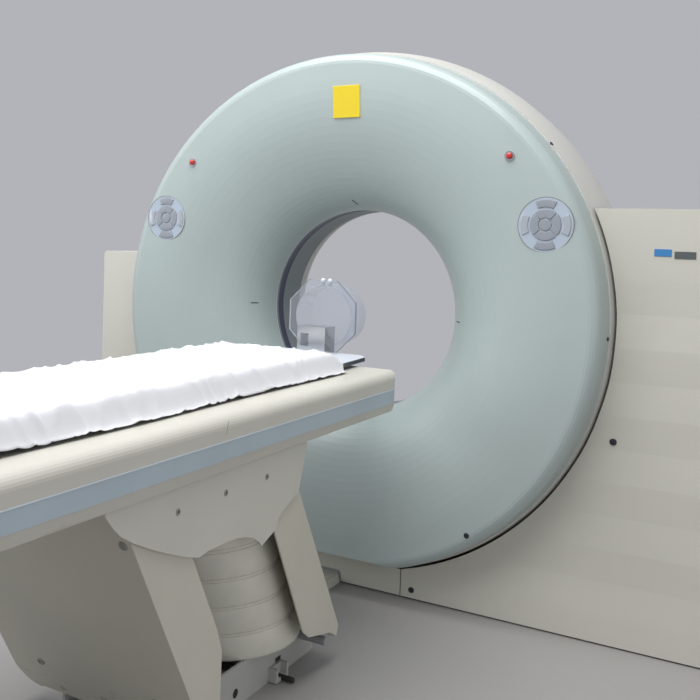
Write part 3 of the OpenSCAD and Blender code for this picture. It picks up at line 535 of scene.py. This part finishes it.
def make_seams():
    parts = [bar((side * (STRIP_HALF + 0.0002), -CAB_FRONT, 0.0515), (0, 0, 1), (0, -1, 0),
                 0.088, 0.0025, 0.0006) for side in (-1, 1)]
    add_piece("strip_seams", mesh_of("strip_seams", *join(parts)), "line", "floor_base", smooth=False)
    # Painted shadow: black strips in the gap along the foot of the cabinets and the kick strip
    parts = [bar((side * (STRIP_HALF + 0.5 * (edge - STRIP_HALF)), -CAB_FRONT + 0.004, FLOOR_GAP_SHADOW_H), (1, 0, 0),
                 (0, -1, 0), edge - STRIP_HALF, 0.0036, 0.001) for side, edge in ((1, RIGHT_X), (-1, LEFT_X))]
    parts.append(bar((0, -CAB_FRONT + 0.004, FLOOR_GAP_SHADOW_H), (1, 0, 0), (0, -1, 0), 0.478, 0.0036, 0.001))
    add_piece("floor_gap_shadow", mesh_of("floor_gap_shadow", *join(parts)), "rubber_and_gap_shadow", "floor_base", smooth=False)
    # Painted highlight along the top edge of each side band
    parts = [bar((side * (SHELL_HALF + 0.0010), -(FOOT_D + HEAD_D) / 2, BAND_TOP - 0.0015), (0, 1, 0),
                 (side, 0, 0), FOOT_D - HEAD_D - 0.044, 0.0024, 0.0007) for side in (-1, 1)]
    add_piece("band_edge_highlights", mesh_of("band_edge_highlights", *join(parts)), "edge_highlight", "table_body", smooth=False)
    # Painted highlight: a thin pale ring on the bore's lip
    ring_line("lip_highlight", 0.3532, -0.0322, 0.0004, 0.0022, "edge_highlight")
    ring_line("lip_seal", 0.3530, -0.0195, 0.0004, 0.0016, "soft_line")
    scratch = bar((SHELL_HALF, -1.375, 0.772), (0, 0.25, 1), (1, 0, 0), 0.030, 0.0012, 0.0002)
    add_piece("shell_scratch", mesh_of("shell_scratch", *scratch), "soft_line", "table_body", smooth=False)


def make_keys():
    """Rounded keys in the place of the flat ones, and domed caps on the red buttons."""
    for name in list(nodes):
        if "_key_" not in name or "panel" in name:
            continue
        source = nodes[name]
        work = bmesh.new()
        work.from_mesh(source.data)
        bmesh.ops.remove_doubles(work, verts=work.verts, dist=1e-6)
        bmesh.ops.dissolve_limit(work, angle_limit=math.radians(2), verts=work.verts, edges=work.edges)
        sharp = [e for e in work.edges if len(e.link_faces) == 2 and e.calc_face_angle() > math.radians(50)
                 and sum(v.co.y for v in e.verts) / 2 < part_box(name)[0][1] + 0.004]
        bmesh.ops.bevel(work, geom=sharp, offset=0.0013, segments=3, profile=0.6, affect="EDGES",
                        clamp_overlap=True)
        mesh = bpy.data.meshes.new(name + "_cap")
        work.to_mesh(mesh)
        work.free()
        look = "bright_key" if name.endswith(("outer_1", "outer_3")) else "key"
        piece = add_piece(name + "_cap", mesh, look, body_of[name], smooth=False)
        mesh.shade_smooth()
        mesh.set_sharp_from_angle(angle=math.radians(35))
        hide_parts(name)
    dome = [(0.0095, -0.0006), (0.0093, 0.0008), (0.0082, 0.0026), (0.0060, 0.0041), (0.0032, 0.0049),
            (0.0012, 0.0051)]
    for side in ("left", "right"):
        name = side + "_push_button"
        low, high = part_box(name)
        at = ((low[0] + high[0]) / 2, low[1], (low[2] + high[2]) / 2)
        mesh = mesh_of("dome", *lathe(dome, at, (0, -1, 0), 32))
        add_piece(side + "_button_dome", mesh, "red", body_of[name])


BELLOWS_R = 0.232
BELLOWS_COUNT = 180
BELLOWS_LOW = 0.1053
BELLOWS_TOP = 0.515
PANELS = 5
PANEL_STEPS = 16


def bellows_line(z, grow):
    """One level line of the bellows: a circle flattened at the front and the back, leaning with the arms."""
    centre = -(PIVOT_D + 0.117) - (z - PIVOT_H - 0.015) * math.tan(LEAN)
    line = []
    for k in range(BELLOWS_COUNT):
        turn = 2 * math.pi * k / BELLOWS_COUNT
        r = BELLOWS_R + grow(turn)
        x, y = r * math.cos(turn), r * math.sin(turn)
        for limit, sign in ((0.152, 1), (0.200, -1)):
            over = sign * y - limit
            y -= sign * (over + math.sqrt(over * over + 0.012 ** 2)) / 2 if over > -0.05 else 0
        line.append(Vector((x, centre + y, z)))
    return line


def make_bellows():
    """The bellows' skin, puffed between its seams and puckered at them, and the stitches beside each seam."""
    steps = PANELS * PANEL_STEPS
    seams = []
    outer = []
    for i in range(steps + 1):
        z = BELLOWS_LOW + (BELLOWS_TOP - BELLOWS_LOW) * i / steps
        share = (i % PANEL_STEPS) / PANEL_STEPS
        puff = 0.0040 * math.sin(math.pi * share) ** 0.7
        near = math.exp(-min(share, 1 - share) * PANEL_STEPS / 2.2)

        def grow(turn, z=z, puff=puff, near=near):
            crease = solid_noise.noise(Vector((6 * math.cos(turn), 6 * math.sin(turn), z * 9)))
            pucker = math.sin(58 * turn + 3 * crease)
            return puff * (0.85 + 0.35 * crease) + 0.0007 * near * pucker - 0.0008 * near

        outer.append(bellows_line(z, grow))
        if i % PANEL_STEPS == 0 and 0 < i < steps:
            seams.append(z)
    inner = [bellows_line(p[0].z, lambda turn: -0.0035) for p in reversed(outer)]
    loops = outer + inner
    points = [p for loop in loops for p in loop]
    faces = grid_faces(len(loops), BELLOWS_COUNT)
    last = (len(loops) - 1) * BELLOWS_COUNT
    faces += [(last + k, last + (k + 1) % BELLOWS_COUNT, (k + 1) % BELLOWS_COUNT, k)
              for k in range(BELLOWS_COUNT)]
    skin = add_piece("bellows_skin", mesh_of("bellows_skin", points, faces), "vinyl", "floor_base")
    stitches = []
    for z in seams:
        for row in (-0.0045, 0.0045):
            line = bellows_line(z + row, lambda turn: 0.0006)
            for k in range(BELLOWS_COUNT):
                here, there = line[k], line[(k + 1) % BELLOWS_COUNT]
                along = there - here
                outward = along.cross(Vector((0, 0, 1)))
                stitches.append(bar(here.lerp(there, 0.5), along, outward, 0.0048, 0.0011, 0.0009))
    thread_mesh = mesh_of("bellows_stitching", *join(stitches))
    thread = add_piece("bellows_stitching", thread_mesh, "thread", "floor_base", smooth=False)
    for piece in (skin, thread):
        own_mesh(piece)
    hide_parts("lift_bellows")


PAD_X = 0.186
PAD_FOOT = 2.712
PAD_HEAD = 0.655
PAD_LOW = BOARD_TOP + 0.0006
PAD_TOP = BOARD_TOP + 0.030
PAD_ROUND = 0.006
PAD_SWELL = 0.008
PAD_STEPS = 14


def make_pad():
    """The mattress: a foam pad in a cover, swelled by a cloth simulation and flat underneath."""
    work = bmesh.new()
    bmesh.ops.create_cube(work, size=1)
    for v in work.verts:
        v.co.x *= 2 * (PAD_X - PAD_ROUND)
        v.co.y = -(PAD_FOOT + PAD_HEAD) / 2 + v.co.y * (PAD_FOOT - PAD_HEAD - 2 * PAD_ROUND)
        v.co.z = PAD_LOW + 0.011 + v.co.z * 0.019
    bmesh.ops.bevel(work, geom=work.edges[:] + work.verts[:], offset=PAD_ROUND, segments=3, affect="EDGES")
    mesh = bpy.data.meshes.new("mattress_pad")
    work.to_mesh(mesh)
    work.free()
    pad = add_piece("mattress_pad", mesh, "pad", "sliding_top")
    remesh = pad.modifiers.new("remesh", "REMESH")
    remesh.mode = "VOXEL"
    remesh.voxel_size = 0.006
    apply_modifiers(pad)
    before = [v.co.copy() for v in pad.data.vertices]
    cloth = pad.modifiers.new("cloth", "CLOTH")
    cloth.settings.use_pressure = True
    cloth.settings.uniform_pressure_force = 4
    cloth.settings.effector_weights.gravity = 0
    cloth.settings.quality = 4
    scene = bpy.context.scene
    for step in range(1, PAD_STEPS + 1):
        scene.frame_set(step)
    apply_modifiers(pad)
    scene.frame_set(1)
    for v, start in zip(pad.data.vertices, before):
        move = v.co - start
        if move.length > PAD_SWELL:
            v.co = start + move * (PAD_SWELL / move.length)
    for v in pad.data.vertices:
        v.co.x = max(-PAD_X, min(PAD_X, v.co.x))
        v.co.y = max(-PAD_FOOT, min(-PAD_HEAD, v.co.y))
        v.co.z = max(PAD_LOW, min(PAD_TOP - 0.0005, v.co.z))
    pad.data.materials.clear()
    pad.data.materials.append(looks["pad"])
    pad.data.shade_smooth()
    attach(pad, "sliding_top")
    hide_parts("mattress")


CLOTH_HEAD = 0.605
CLOTH_FOOT = 2.735
# What the sheet was cut to: its smooth section over the pad and down to the shell, 0.51 m, and 10 mm of slack
CLOTH_HALF = 0.224
CLOTH_LIFT = 0.004
CLOTH_ROWS = 440
CLOTH_COLUMNS = 110


def cloth_height(x):
    """Height of the cloth's middle surface over the pad, the board and the shell, before its creases."""
    shell = SHELL_TOP + CLOTH_LIFT
    slope = min(1.0, max(0.0, (0.222 - abs(x)) / 0.034))
    ease = slope * slope * (3 - 2 * slope)
    return shell + (PAD_TOP + 0.005 - shell) * ease


def make_cloth():
    """The white cloth over the mattress: creased on top, with its edges lying on the shell."""
    rows = []
    for i in range(CLOTH_ROWS + 1):
        share = i / CLOTH_ROWS
        y = -CLOTH_FOOT + (CLOTH_FOOT - CLOTH_HEAD) * share
        row = []
        for k in range(CLOTH_COLUMNS + 1):
            s = -1 + 2 * k / CLOTH_COLUMNS
            wave = solid_noise.noise(Vector((y * 2.1, s * 0.6, 3.0))) * 0.010
            x = s * (CLOTH_HALF + (wave if abs(s) > 0.6 else wave * abs(s) / 0.6))
            at = Vector((x * 9, y * 7, 0))
            bend = Vector((solid_noise.noise(at), solid_noise.noise(at + Vector((9, 3, 1))), 0))
            fold = 1 - abs(solid_noise.noise(Vector((x * 8, y * 5, 5)) + bend * 1.3)) * 2
            fine = 1 - abs(solid_noise.noise(Vector((x * 20, y * 13, 8)) + bend * 2.0)) * 2
            crease = 0.0060 * max(0.0, fold) ** 7 + 0.0028 * max(0.0, fine) ** 6
            rise = solid_noise.noise(Vector((x * 5, y * 4, 2))) * 0.0012 + 0.0012
            end = min(1.0, max(0.0, (-CLOTH_HEAD - y) / 0.04))
            low = (BOARD_TOP if abs(x) < 0.21 else SHELL_TOP) + CLOTH_LIFT
            height = low + (cloth_height(x) - low) * end ** 0.5
            row.append(Vector((x, y, height + crease + rise)))
        rows.append(row)
    points = [p for row in rows for p in row]
    faces = grid_faces(len(rows), CLOTH_COLUMNS + 1, closed=False)
    mesh = mesh_of("table_cloth", points, faces)
    piece = add_piece("table_cloth", mesh, "cloth", "sliding_top")
    solid = piece.modifiers.new("thickness", "SOLIDIFY")
    solid.thickness = 0.0008
    solid.offset = 1
    apply_modifiers(piece)
    piece.data.shade_smooth()


def make_panel_rims():
    """A thin grey seal round each key panel, square to the way its centre key is pressed."""
    press_of = {j["child"]: j["axis"] for j in frame["record"]["behaviour"]["joints"]}
    for side in ("left", "right"):
        low, high = (Vector(v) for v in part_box(side + "_key_panel"))
        outward = -Vector(press_of[side + "_key_centre_cap"]).normalized()
        centre = (low + high) / 2 + outward * 0.0070
        ring = [(0.0806, -0.006), (0.0826, -0.006), (0.0826, 0.0004), (0.0820, 0.0009), (0.0812, 0.0009),
                (0.0806, 0.0004)]
        count = 72
        turn = outward.to_track_quat("Z", "Y").to_matrix()
        points = [centre + turn @ Vector((r * math.cos(t), r * math.sin(t), h))
                  for r, h in ring for t in (2 * math.pi * k / count for k in range(count))]
        faces = grid_faces(len(ring), count)
        last = (len(ring) - 1) * count
        faces += [(last + k, last + (k + 1) % count, (k + 1) % count, k) for k in range(count)]
        name = side + "_panel_seal"
        add_piece(name, mesh_of(name, points, faces), "soft_line", "tilting_ring", smooth=False)


def make_base_details():
    """The table base's rod, plugs and slot, two bolts on the drum and a dark notch at its rim."""
    rod = lathe([(0.0060, 0), (0.0076, 0.0012), (0.0076, 0.046), (0.0066, 0.0485), (0.0030, 0.0488)],
                (0.196, -0.912, 0.0096), (1, 0, 0))
    plugs = [lathe([(r, -0.004), (r, 0.0002), (r * 0.8, 0.0010), (r * 0.3, 0.0012)],
                   (BASE_HALF, -PIVOT_D - d, z), (1, 0, 0))
             for d, z, r in ((0.307, 0.037, 0.0117), (0.366, 0.031, 0.0097))]
    slot = bar((BASE_HALF - 0.0004, -0.893, 0.037), (0, 1, 0), (1, 0, 0), 0.0294, 0.0294, 0.0003)
    add_piece("base_rod", mesh_of("base_rod", *rod), "rubber_and_gap_shadow", "floor_base")
    plug_mesh = mesh_of("base_plugs", *join(plugs + [slot]))
    add_piece("base_plugs", plug_mesh, "rubber_and_gap_shadow", "floor_base", smooth=False)
    centre = Vector((0, 0, SCAN_H))
    outward = (Vector((0.672, -0.184, 1.4935)) - centre).normalized()
    at = centre + outward * DRUM_R
    bolt = [(0.0065, -0.002), (0.0065, 0.0010), (0.0050, 0.0018), (0.002, 0.0019)]
    bolts = [lathe(bolt, (s * at.x, at.y, at.z), (s * outward.x, outward.y, outward.z)) for s in (1, -1)]
    add_piece("drum_bolts", mesh_of("drum_bolts", *join(bolts)), "mark", "tilting_ring")
    notch = bar((0.8648, -0.2, 0.92), (0, 1, 0), (1, 0, 0), 0.018, 0.010, 0.0016)
    add_piece("rim_notch", mesh_of("rim_notch", *notch), "mark", "tilting_ring", smooth=False)


def make_phantom():
    """White filler plugs on the clear jar."""
    plug = [(0.0076, -0.001), (0.0076, 0.010), (0.0068, 0.012), (0.0050, 0.013), (0.0046, 0.0155),
            (0.0020, 0.016)]
    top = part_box("phantom_jar")[1][2]
    parts = [lathe(plug, (x, -0.3167, top - 0.012), (0, 0, 1), 20) for x in (-0.0125, 0.0125)]
    add_piece("jar_plugs", mesh_of("jar_plugs", *join(parts)), "plug", "sliding_top")


make_camera()
make_stage()
make_lights()
dress_nodes()
make_funnel_marks()
make_plates()
make_screws()
make_seams()
make_keys()
make_bellows()
make_pad()
make_cloth()
make_phantom()
make_panel_rims()
make_base_details()
bpy.context.scene.view_settings.view_transform = "Standard"
